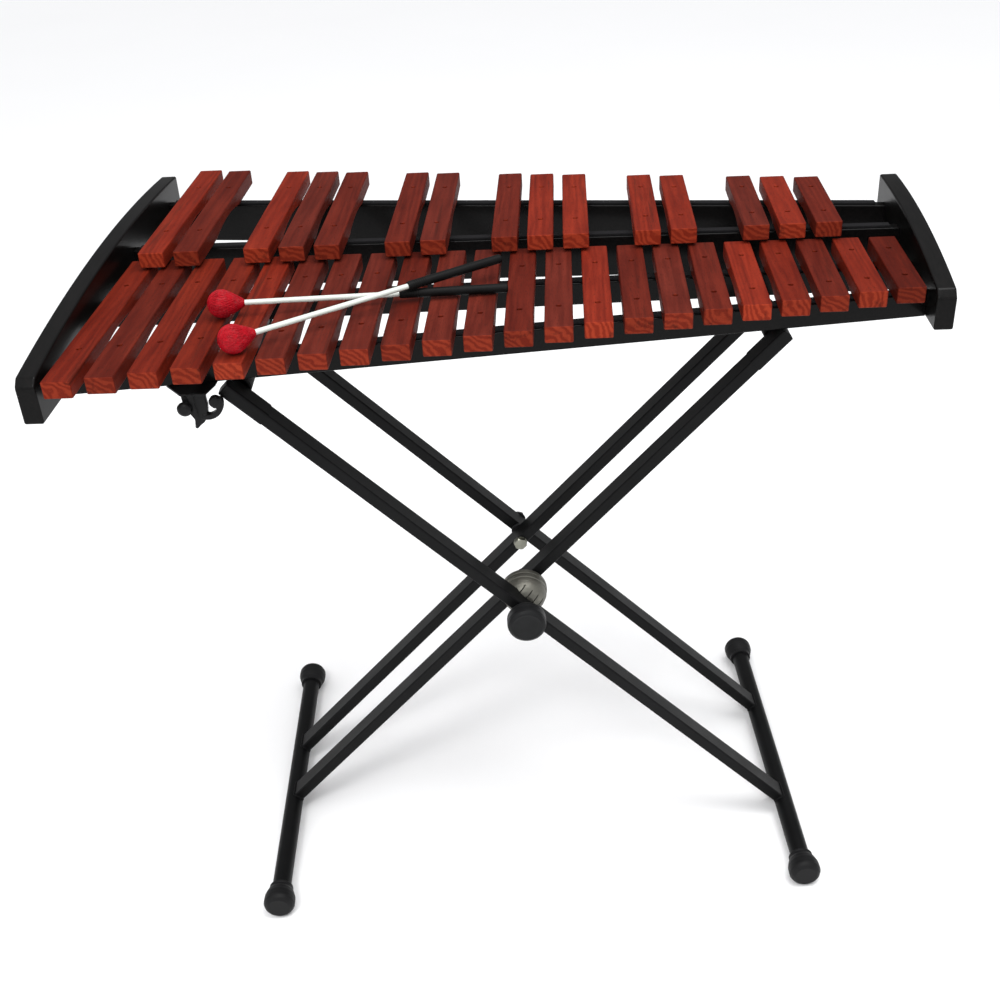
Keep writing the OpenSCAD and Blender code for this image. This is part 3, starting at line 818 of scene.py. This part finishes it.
def weld(leg, which, end, draw):
    """A bead where a leg's end meets its round bar; end is -1 at the foot and 1 at the top."""
    grow = 0.2 * MM
    outline = rounded_rectangle(LEG_THIN / 2 + grow, -LEG_WIDE / 2 - grow, LEG_WIDE / 2 + grow,
                                LEG_CORNER + grow, 6)
    dense = []
    for (x0, y0), (x1, y1) in zip(outline, outline[1:] + outline[:1]):
        count = max(1, int(math.hypot(x1 - x0, y1 - y0) / WELD_STEP))
        dense += [(x0 + (x1 - x0) * k / count, y0 + (y1 - y0) * k / count)
                  for k in range(count)]
    middle = -LEG_DOWN if end < 0 else LEG_UP
    path = []
    for x, y in dense:
        drop = math.sqrt(TUBE_RADIUS ** 2 - min(x * x, TUBE_RADIUS ** 2 * 0.98))
        path.append(Vector((x, y + LEG_Y[leg], middle - end * (drop + 0.5 * MM))))
    ripple = [WELD_RADIUS * (1 + 0.16 * math.sin(k * 2.1) + draw.uniform(-0.08, 0.08))
              for k in range(len(path))]
    bead = closed_tube(path, lambda t: ripple[min(int(t * len(path) + 0.5), len(path) - 1)], 8)
    bead.transform(frame_of(which))
    return bead


def make_legs():
    """The CAD's tubes in powder coat, with weld beads at the ends that show."""
    draw = random.Random(11)
    for leg in LEG_Y:
        which = leg.split("_")[0]
        ends = (-1, 1) if "back" in leg else (-1,)
        beads = joined([weld(leg, which, end, draw) for end in ends])
        piece(leg + "_welds", beads, which + "_frame", "powder_coat", crease=60)
    for node in nodes:
        if node.endswith(("_leg", "_foot_bar", "_top_bar")):
            nodes[node].data.materials.clear()
            nodes[node].data.materials.append(MATERIALS["powder_coat"])


def make_leg_stop():
    """The moulded end of the outer front leg: it stands up in front of the front rail."""
    outline = rounded_rectangle(9 * MM, *STOP_Y, 3 * MM)
    bm = slab(outline, LEG_UP - 2 * MM, LEG_UP + STOP_RISE, 1.5 * MM, plan_place)
    piece("outer_front_leg_stop", bm, "outer_frame", "powder_coat",
          place=frame_of("outer"))


def make_top_bar_plugs():
    """Plastic plugs in the open back ends of the top bars."""
    profile = turned_profile([(0, -12), (11.8, -12, 1), (11.9, -1), (13.3, -1, 0.3),
                              (13.3, -0.5, 0.4), (7, -0.1, 4), (0, -0.1)])
    for which, end in TOP_BAR_BACK.items():
        bm = lathe(profile, 40, on_top_bar(which, end))
        piece(which + "_top_bar_plug", bm, which + "_frame", "clamp_plastic")


def make_sleeves():
    """Rubber sleeves that carry the rails."""
    for node, body in (("outer_bar_sleeve", "saddle"), ("inner_bar_sleeve", "inner_frame")):
        which = node.split("_")[0]
        skins = []
        for start, end in SLEEVE_SPANS[which]:
            profile = [(SLEEVE_INSIDE, start)]
            profile += arc((14.5, start + 1), 1, -90, 0, 4) + arc((14.5, end - 1), 1, 0, 90, 4)
            profile += [(SLEEVE_INSIDE, end), (SLEEVE_INSIDE, start)]
            skins.append(lathe(metres(profile), 64, on_top_bar(which)))
        piece(node + "_rubber", joined(skins), body, "sleeve_rubber", node)


def make_foot_caps():
    """Bell-shaped rubber caps with a moulded bead at the mouth, flat on the floor."""
    profile = turned_profile([
        (0, 0), (16, 0, 3), (20, 3, 4), (22.2, 7.5, 3), (22.4, 12, 4), (22.1, 19, 5),
        (19.8, 26.5, 6), (17.0, 31, 5), (16.5, 34.6, 0.8), (17.1, 35.4, 0.6),
        (17.1, 37.4, 0.6), (16.6, 38, 0.3), (13.56, 38), (13.56, 30)], 5)
    for which in ("outer", "inner"):
        caps = []
        for outward in (-1, 1):
            origin = FEET[which] + ALONG * CAP_HALF * outward
            caps.append(lathe(profile, 72, along_tube(origin, -outward)))
        bm = joined(caps)
        for vert in bm.verts:
            vert.co.z = max(vert.co.z, 0.0)
        piece(which + "_foot_caps_rubber", bm, which + "_feet", "cap_rubber",
              which + "_foot_caps", crease=45)


# ---- pivots ----

DISC_GROOVES = ((-17.1, 10), (-5.7, 5.5), (5.7, 5.5), (17.1, 10))     # place, depth
DISC_BORE = 5.1
# where each piece starts, in millimetres along the tubes from the pivot's own point
FRONT_DISC_AT = -100.5
REAR_DISC_AT = -70
CLUTCH_BOLT_AT = -141.5
KNOB_AT = -154.5
REAR_BOLT_AT = 46.55
REAR_NUT_AT = 83.6
BOLT_RADIUS = 4.95
THREAD_RADIUS = 4.98
THREAD_PITCH = 1.5
THREAD_DEPTH = 0.5
HEX_RADIUS = 9.8 * MM     # of the rear bolt's head and its nut, over the corners


def on_pivot(which, y):
    """A lathe's frame on the pivot: its z runs to the back from y, its x across the legs."""
    return (frame_of(which) @ Matrix.Translation((0, y * MM, 0))
            @ Matrix.Rotation(-math.pi / 2, 4, "X"))


def hexagon(radius, length):
    """A hexagonal head or nut, its corners turned off at both ends."""
    corners = [(radius * math.cos(k * math.pi / 3), radius * math.sin(k * math.pi / 3))
               for k in range(6)]
    prism = loft([[(x, y, 0) for x, y in corners], [(x, y, length) for x, y in corners]])
    flat, drop = 0.86 * radius, 0.13 * radius
    turned = [(0, 0), (flat, 0), (radius * 1.01, drop), (radius * 1.01, length - drop),
              (flat, length), (0, length)]
    return solid(prism, "INTERSECT", lathe(turned, 72))


def threads(start, end):
    """A profile of thread ridges from start to end, in millimetres."""
    root = THREAD_RADIUS - THREAD_DEPTH
    points = []
    height = start
    while height < end:
        points += [(root, height), (THREAD_RADIUS, height + 0.5 * THREAD_PITCH)]
        height += THREAD_PITCH
    return points + [(root, height)]


def make_clutch():
    """A grooved dome on the outer leg, a plate on the inner one, and the bolt through both."""
    dome = turned_profile([
        (DISC_BORE, 0), (12, 0.05, 5), (18, 2.6, 14), (23, 6.6, 16), (27, 12.1, 16),
        (29.3, 17.6, 14), (29.9, 21.4), (29.9, 22.4), (30.9, 22.9, 0.3), (30.9, 30.1, 0.5),
        (DISC_BORE, 30.15)], 5, True)
    bm = lathe(dome, 120)
    grooves = []
    for y, depth in DISC_GROOVES:
        grooves.append(box_mesh((64 * MM, 1.5 * MM, 2 * depth * MM),
                                Matrix.Translation((0, y * MM, 0))))
    bm = solid(bm, "DIFFERENCE", joined(grooves))
    leg_seat = box_mesh((LEG_THIN + 0.04 * MM, 80 * MM, 29 * MM),
                        Matrix.Translation((0, 0, -5.48 * MM)))
    bm = solid(bm, "DIFFERENCE", leg_seat)
    piece("clutch_front_disc_cast", bm, "outer_frame", "die_cast",
          "clutch_front_disc", on_pivot("outer", FRONT_DISC_AT))

    plate = turned_profile([(DISC_BORE, 0.05), (31.9, 0.05, 0.6), (31.9, 6.8, 2.5),
                            (27.2, 13.4, 1.5), (DISC_BORE, 13.45)], 4, True)
    piece("clutch_rear_disc_cast", lathe(plate, 120), "inner_frame", "die_cast",
          "clutch_rear_disc", on_pivot("inner", REAR_DISC_AT))

    bolt = turned_profile([(0, 0), (4.2, 0, 0.5)] + threads(1.5, 22)
                          + [(BOLT_RADIUS, 24), (BOLT_RADIUS, 115.3), (7.9, 115.35),
                             (7.9, 116.2, 0.8), (5.5, 117.2, 1), (0, 117.25)])
    piece("clutch_bolt_threaded", lathe(bolt, 40), "outer_frame", "black_steel",
          "clutch_bolt", on_pivot("outer", CLUTCH_BOLT_AT))


def make_clutch_knob():
    """A smooth round knob: a dished face inside a raised rim, and a stepped neck."""
    front = [(0, 1.1), (17.5, 0.95, 6), (19.6, 0.55, 1), (20.6, 0.3, 1), (22.3, 1.2, 2),
             (25.2, 3.6, 3), (26.4, 8, 5), (26.4, 15.6), (26.15, 15.9), (26.15, 16.5),
             (26.4, 16.8), (26.4, 20.5, 2), (25, 23.9, 1.5), (17.5, 24.9, 1.2),
             (13.6, 26.9, 1.5), (12.4, 32.6, 0.4)]
    bore = [(5.15, 32.65), (5.15, 10.2), (0, 10.1)]
    bm = lathe(turned_profile(front + bore, 4), 96)
    piece("clutch_knob_moulded", bm, "clutch_knob", "knob_plastic",
          "clutch_knob", on_pivot("outer", KNOB_AT))


def washer(inner, outer, low, high, edge, steps=2):
    """A flat ring with rounded edges at its rim, in millimetres."""
    return lathe(turned_profile([(inner, low), (outer, low, edge), (outer, high, edge),
                                 (inner, high)], steps, True), 56)


def make_rear_pivot():
    """The hexagon bolt with its washer, then its spacer, nut and rear washer."""
    shank = turned_profile([(0, 5.9), (BOLT_RADIUS, 5.9), (BOLT_RADIUS, 66)]
                           + threads(68, 80.5) + [(4.2, 82.1, 0.5), (0, 82.15)])
    bm = joined([hexagon(HEX_RADIUS, 6 * MM), lathe(shank, 40),
                 washer(5.1, 9.9, 5.6, 6.4, 0.3)])
    piece("rear_pivot_bolt_zinc", bm, "outer_frame", "zinc_steel", "rear_pivot_bolt",
          on_pivot("outer", REAR_BOLT_AT))
    nut = hexagon(HEX_RADIUS, 7 * MM)
    nut.transform(Matrix.Translation((0, 0, 34 * MM)))
    bore = lathe(turned_profile([(0, 30), (5.1, 30), (5.1, 45), (0, 45)]), 40)
    nut = solid(nut, "DIFFERENCE", bore)
    bm = joined([washer(5.1, 11.9, 0.05, 3.05, 0.6, 3), nut,
                 washer(5.1, 10.6, 33.1, 34.1, 0.3)])
    piece("rear_pivot_nut_black", bm, "outer_frame", "black_steel",
          "rear_pivot_nut", on_pivot("outer", REAR_NUT_AT))


# ---- clamp ----

KEYBOARD = Vector((22.25, -154.436, 834.706)) * MM      # the keyboard's own origin
FOOT_LOW, FOOT_HIGH = -59.8 * MM, -56.1 * MM            # heights of the foot plate's faces
VOXEL = 0.55 * MM
# in millimetres, places from the keyboard's own origin
CLAMP_FRONT = -93
CLAMP_BACK = -81.8
CLAMP_HUB = (-407.7, -75)
HOOK_MIDDLE = (-383, -70.5)
HOOK_OUTSIDE, HOOK_INSIDE = 22.4, 15.3
BULB = (12.4, 6, 7.7)     # its middle's radius and angle about the hook, its own radius


def hook_point(radius, angle):
    turn = math.radians(angle)
    return (HOOK_MIDDLE[0] + radius * math.cos(turn), HOOK_MIDDLE[1] + radius * math.sin(turn))


def clamp_slab(outline, front, back, edge):
    """Part of the clamp: an x-z outline, thick from front to back."""
    return slab(metres(outline), front * MM, back * MM, edge * MM,
                lambda x, z, y: Vector((x, y, z)) + KEYBOARD, 3)


def make_clamp():
    """A moulding with an ear that narrows to a spike and a hook with a bulb, and its knob."""
    ear = fillet([(-401, -104, 1), (-398.3, -105.9, 1.6), (-393.3, -100.8, 4), (-388, -97, 6),
                  (-383.5, -90, 5), (-381.4, -80, 8), (-380.7, -74, 8), (-381.4, -66, 8),
                  (-381.1, -56.1), (-411.8, -56.1), (-411, -68, 5), (-409, -77.2, 8),
                  (-403.1, -87, 6), (-399.6, -92.8, 5), (-400.4, -98.5, 6)], steps=5)
    arm = [hook_point(HOOK_OUTSIDE, a) for a in range(-108, 21, 4)]
    arm += [hook_point(HOOK_INSIDE, a) for a in range(20, -109, -4)]
    bulb = arc(hook_point(*BULB[:2]), BULB[2], 0, 345, 23)
    rib = fillet([(-402, -57.5, 2), (-400.5, -72, 8), (-398, -84, 8), (-396.5, -93, 2),
                  (-394, -84, 6), (-396, -70, 8), (-396, -57.5, 2)], steps=4)
    rib.reverse()
    boss = arc(CLAMP_HUB, 6.9, 0, 350, 35)
    front, back = CLAMP_FRONT, CLAMP_BACK
    parts = [clamp_slab(ear, front + 3, back - 0.1, 1.6),
             clamp_slab(arm, front + 1, back - 0.6, 1.9),
             clamp_slab(bulb, front + 0.3, back - 0.4, 2.8),
             clamp_slab(rib, front + 0.2, back - 4, 1.6),
             clamp_slab(boss, front + 0.1, back - 3, 1.0)]
    foot = fillet([(-411.5, -91.8, 2), (-380.3, -91.8, 2), (-373.2, -64.5, 3),
                   (-373.2, -48.2, 4), (-435.3, -48.2, 4), (-435.3, -64.5, 3)], steps=4)
    parts.append(slab(metres(foot), FOOT_LOW, FOOT_HIGH, 1.0 * MM,
                      lambda x, y, z: Vector((x, y, z)) + KEYBOARD))
    work = new_object("clamp_work", mesh_from("clamp_work", joined(parts)))
    remesh = work.modifiers.new("blend", "REMESH")
    remesh.mode = "VOXEL"
    remesh.voxel_size = VOXEL
    melt = work.modifiers.new("melt", "SMOOTH")
    melt.factor = 0.5
    melt.iterations = 9
    thin = work.modifiers.new("thin", "DECIMATE")
    thin.ratio = 0.35
    bm = with_modifiers(work)
    discard(work)
    socket = lathe(turned_profile([(0, -1), (3.08, -1), (3.08, 8), (0, 8)]), 32)
    hub = Vector((CLAMP_HUB[0], front, CLAMP_HUB[1])) * MM + KEYBOARD
    socket.transform(Matrix.Translation(hub) @ Matrix.Rotation(-math.pi / 2, 4, "X"))
    bm = solid(bm, "DIFFERENCE", socket)
    piece("clamp_bracket_moulded", bm, "keyboard", "clamp_plastic", "clamp_bracket",
          crease=50)
    knob = turned_profile([(0, 7.5), (5.4, 7.3, 2), (8.2, 5.3, 2), (9.3, 3.2, 1.5),
                           (9.3, 1.2, 0.5), (8.7, 0.35, 0.3), (3, 0.35), (3, -6.9, 0.4),
                           (0, -6.95)], 4)
    bm = lathe(knob, 48)
    slots = [box_mesh((2.2 * MM, 2.2 * MM, 12 * MM), Matrix.Rotation(k * math.pi / 4, 4, "Z")
                      @ Matrix.Translation((10 * MM, 0, 4 * MM))) for k in range(8)]
    bm = solid(bm, "DIFFERENCE", joined(slots))
    piece("clamp_knob_fluted", bm, "clamp_knob", "clamp_plastic", "clamp_knob",
          Matrix.Translation(hub) @ Matrix.Rotation(math.pi / 2, 4, "X"))


# ---- mallets ----

# middle of the head and end of the grip, in the keyboard's own millimetres
MALLETS = {"mallet_1": ((-368.5, 5, 18.4), (-15.4, 53.2, 6.4)),
           "mallet_2": ((-331.6, -101.5, 18.4), (-25.6, 105.8, 25.6))}
# in millimetres
BALL_RADIUS = 17.0
NECK = (4.4, 27.8)        # radius and height of the egg's neck
YARN_RADIUS = 0.42
INSIDE_YARN = 3.3         # radius of the core's bore
ROD_RADIUS = 3.45
GRIP_RADIUS = 5.9
GROOVE_RADIUS = 5.55
GRIP_LENGTH = 136.8
STRANDS = 125
STRAND_STEPS = 44
CORE_STEPS = 36


def egg_reach(angle):
    """Distance from the ball's middle to the egg's skin, at an angle from the shaft."""
    cone_turn = math.atan2(*NECK) + math.acos(BALL_RADIUS / math.hypot(*NECK))
    if angle >= cone_turn:
        return BALL_RADIUS
    touch = (BALL_RADIUS * math.sin(cone_turn), BALL_RADIUS * math.cos(cone_turn))
    slope = (touch[0] - NECK[0]) / (NECK[1] - touch[1])
    return (touch[0] + slope * touch[1]) / (math.sin(angle) + slope * math.cos(angle))


def yarn_strand(draw):
    """One closed turn of yarn round the egg, passing beside the shaft."""
    tilt = math.radians(draw.uniform(11, 24))
    swing = draw.uniform(0, 2 * math.pi)
    near = Vector((math.sin(tilt) * math.cos(swing), math.sin(tilt) * math.sin(swing),
                   math.cos(tilt)))
    side = Vector((-math.sin(swing), math.cos(swing), 0))
    lift = draw.uniform(0.15, 0.5)
    wander = draw.uniform(0, 6)
    path = []
    for k in range(STRAND_STEPS):
        turn = 2 * math.pi * k / STRAND_STEPS
        way = (near * math.cos(turn) + side * math.sin(turn)).normalized()
        sway = 0.012 * math.sin(3 * turn + wander)
        way = (way + near.cross(side) * sway).normalized()
        reach = egg_reach(way.angle(Vector((0, 0, 1)))) + lift
        path.append(way * reach * MM)
    return closed_tube(path, lambda t: YARN_RADIUS * MM, 5)


def make_head(name, place, draw):
    """An egg wound from separate strands over a core."""
    core = [(0, -BALL_RADIUS)]
    for k in range(1, CORE_STEPS + 1):
        angle = math.pi - (math.pi - 0.17) * k / CORE_STEPS
        reach = egg_reach(angle)
        core.append((reach * math.sin(angle), reach * math.cos(angle)))
    core += [(NECK[0] * 0.94, NECK[1] + 0.3), (INSIDE_YARN, NECK[1] + 0.5), (INSIDE_YARN, 10),
             (0, 10)]
    head = joined([lathe(metres(core), 56)] + [yarn_strand(draw) for _ in range(STRANDS)])
    head.transform(place)
    piece(name + "_wound_head", head, name, "mallet_yarn", name + "_head", crease=80)


def make_grip(name, place, long):
    """A rubber sleeve with six grooves at its front, open at its front end."""
    begin = long - GRIP_LENGTH
    grip = [(3.5, begin), (5.2, begin, 0.8), (GRIP_RADIUS, begin + 4, 1)]
    for k in range(6):
        ridge = begin + 8 + 3 * k
        grip += [(GRIP_RADIUS, ridge), (GROOVE_RADIUS, ridge + 0.5),
                 (GROOVE_RADIUS, ridge + 1), (GRIP_RADIUS, ridge + 1.5)]
    grip += [(GRIP_RADIUS, long - 4), (5.6, long - 1.4, 1.5), (4.2, long - 0.2, 1.2),
             (0, long - 0.1), (0, long - 2), (3.5, long - 2.2)]
    profile = turned_profile(grip, 4) + [(3.5 * MM, begin * MM)]
    piece(name + "_sleeve", lathe(profile, 40, place), name, "grip_rubber", name + "_grip")


def make_mallets():
    for number, (name, (head, end)) in enumerate(MALLETS.items()):
        start = Vector(head) * MM
        run = Vector(end) * MM - start
        long = run.length / MM
        place = (Matrix.Translation(start + KEYBOARD)
                 @ run.to_track_quat("Z", "Y").to_matrix().to_4x4())
        make_head(name, place, random.Random(20 + number))
        rod = turned_profile([(0, -9), (3.4, -9, 0.5), (ROD_RADIUS, long - 4, 0.5),
                              (0, long - 4)])
        piece(name + "_rod", lathe(rod, 36, place), name, "white_shaft", name + "_shaft")
        make_grip(name, place, long)


# ---- studio ----

# the camera's sensor and lens in millimetres, its place in metres, its turns given in degrees
SENSOR = 36
LENS = 45.81
EYE = (0.08595, -1.60170, 1.45849)
YAW, PITCH, ROLL = (math.radians(a) for a in (4.04, 31.77, -3.58))
FLOOR_HALF = 30
LIGHT_TARGET = (0, 0, 0.6)
SKY = (0.98, 0.985, 1, 1)


def make_studio():
    """A pale floor, a sky that is bright in front and above, and two soft boxes."""
    bm = bmesh.new()
    bmesh.ops.create_grid(bm, x_segments=1, y_segments=1, size=FLOOR_HALF)
    floor = new_object("studio_floor", mesh_from("studio_floor", bm))
    floor.data.materials.append(make_floor())
    world = bpy.data.worlds.new("studio")
    world.use_nodes = True
    tree = world.node_tree
    sky_place = add(tree, "TexCoord").outputs["Generated"]
    way = add(tree, "SeparateXYZ", {"Vector": sky_place}).outputs
    lit = maths(tree, "MULTIPLY_ADD", way["Z"], 0.8, maths(tree, "MULTIPLY", way["Y"], -0.6))
    background = tree.nodes["Background"].inputs
    tree.links.new(levels(tree, lit, -0.2, 0.6, 0.25, 1.25), background["Strength"])
    background["Color"].default_value = SKY
    bpy.context.scene.world = world
    soft_box("key", (0.6, -0.3, 3.3), 1.8, 62)
    soft_box("front", (-0.75, -2.1, 2.9), 0.8, 34)
    bpy.context.scene.view_settings.view_transform = "Standard"


def soft_box(name, position, size, power):
    light = bpy.data.lights.new(name, "AREA")
    light.shape = "SQUARE"
    light.size = size
    light.energy = power
    toward = Vector(LIGHT_TARGET) - Vector(position)
    new_object(name, light).matrix_world = (
        Matrix.Translation(position) @ toward.to_track_quat("-Z", "Y").to_matrix().to_4x4())


def make_camera():
    camera = bpy.data.cameras.new("camera")
    camera.sensor_width = SENSOR
    camera.lens = LENS
    camera.clip_end = 100
    obj = new_object("camera", camera)
    turn = Matrix.Rotation(YAW, 4, "Z") @ Matrix.Rotation(math.pi / 2 - PITCH, 4, "X")
    obj.matrix_world = Matrix.Translation(EYE) @ turn @ Matrix.Rotation(ROLL, 4, "Z")
    bpy.context.scene.camera = obj


make_camera()
make_studio()
make_bars()
make_end_board("left_end_board", *LEFT_BOW, -1)
make_end_board("right_end_board", *RIGHT_BOW, 1)
for rail in ("natural_front", "natural_back", "sharp_front", "sharp_back"):
    make_rail(rail + "_rail")
make_felt_strips()
make_pins()
make_screws()
make_legs()
make_leg_stop()
make_top_bar_plugs()
make_sleeves()
make_foot_caps()
make_clutch()
make_clutch_knob()
make_rear_pivot()
make_clamp()
make_mallets()
